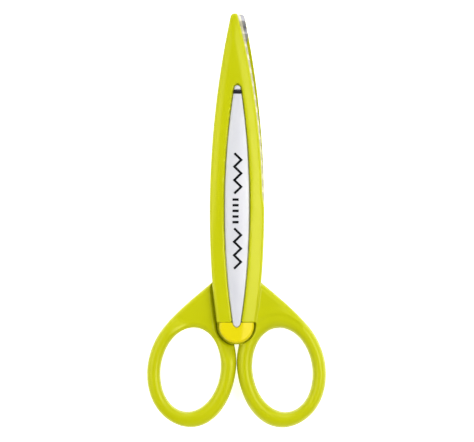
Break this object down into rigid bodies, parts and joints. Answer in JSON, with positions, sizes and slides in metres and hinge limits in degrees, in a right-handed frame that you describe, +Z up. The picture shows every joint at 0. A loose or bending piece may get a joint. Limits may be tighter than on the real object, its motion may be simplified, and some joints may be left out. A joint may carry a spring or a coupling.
{
  "type": "decorative edge scissors",
  "caption": "Hand scissors with corrugated blades that cut a zigzag edge; each half clips a blade cartridge into a lens-shaped leaf with a finger ring.",
  "frame": {"origin": "centre of the box's underside, on the surface that the closed scissors lie on", "axes": "+Y towards the blade tips, +X towards the front half's finger ring, +Z up out of the surface, along the pivot"},
  "size_m": [0.0734, 0.1694, 0.013],
  "materials": {
    "lime_plastic": "smooth moulded lime-yellow plastic with a satin gloss",
    "yellow_plastic": "smooth moulded yellow plastic with a satin gloss",
    "silver_plastic": "light silver-white plastic, printed with a black zigzag",
    "black_plastic": "black moulded plastic",
    "blade_steel": "pressed stainless sheet, fine brushed grain",
    "pivot_steel": "turned steel, satin"
  },
  "bodies": {
    "rear_half": {"rear_handle": "lime_plastic", "rear_blade": "blade_steel", "rear_blade_carrier": "silver_plastic", "rear_nose_clip": "black_plastic", "rear_button_spring": "pivot_steel", "rear_pivot_washer": "pivot_steel", "rear_blade_rivet_1": "pivot_steel", "rear_blade_rivet_2": "pivot_steel", "rear_blade_rivet_3": "pivot_steel", "pivot_rivet": "pivot_steel", "pivot_bush": "pivot_steel"},
    "front_half": {"front_handle": "lime_plastic", "front_blade": "blade_steel", "front_blade_carrier": "silver_plastic", "front_nose_clip": "black_plastic", "front_button_spring": "pivot_steel", "front_pivot_washer": "pivot_steel", "front_blade_rivet_1": "pivot_steel", "front_blade_rivet_2": "pivot_steel", "front_blade_rivet_3": "pivot_steel"},
    "front_button": {"front_release_button": "yellow_plastic"},
    "rear_button": {"rear_release_button": "yellow_plastic"}
  },
  "joints": [
    {"name": "scissor_pivot", "type": "hinge", "parent": "rear_half", "child": "front_half", "pos_m": [0, -0.04275, 0.0065], "axis": [0, 0, 1], "range_deg": [0, 55]},
    {"name": "front_button_press", "type": "slide", "parent": "front_half", "child": "front_button", "axis": [0, 0, -1], "range_m": [0, 0.001], "stiffness_N_per_m": 1500, "springref_m": -0.0005, "deforming": ["front_button_spring"]},
    {"name": "rear_button_press", "type": "slide", "parent": "rear_half", "child": "rear_button", "axis": [0, 0, 1], "range_m": [0, 0.001], "stiffness_N_per_m": 1500, "springref_m": -0.0005, "deforming": ["rear_button_spring"]}
  ]
}
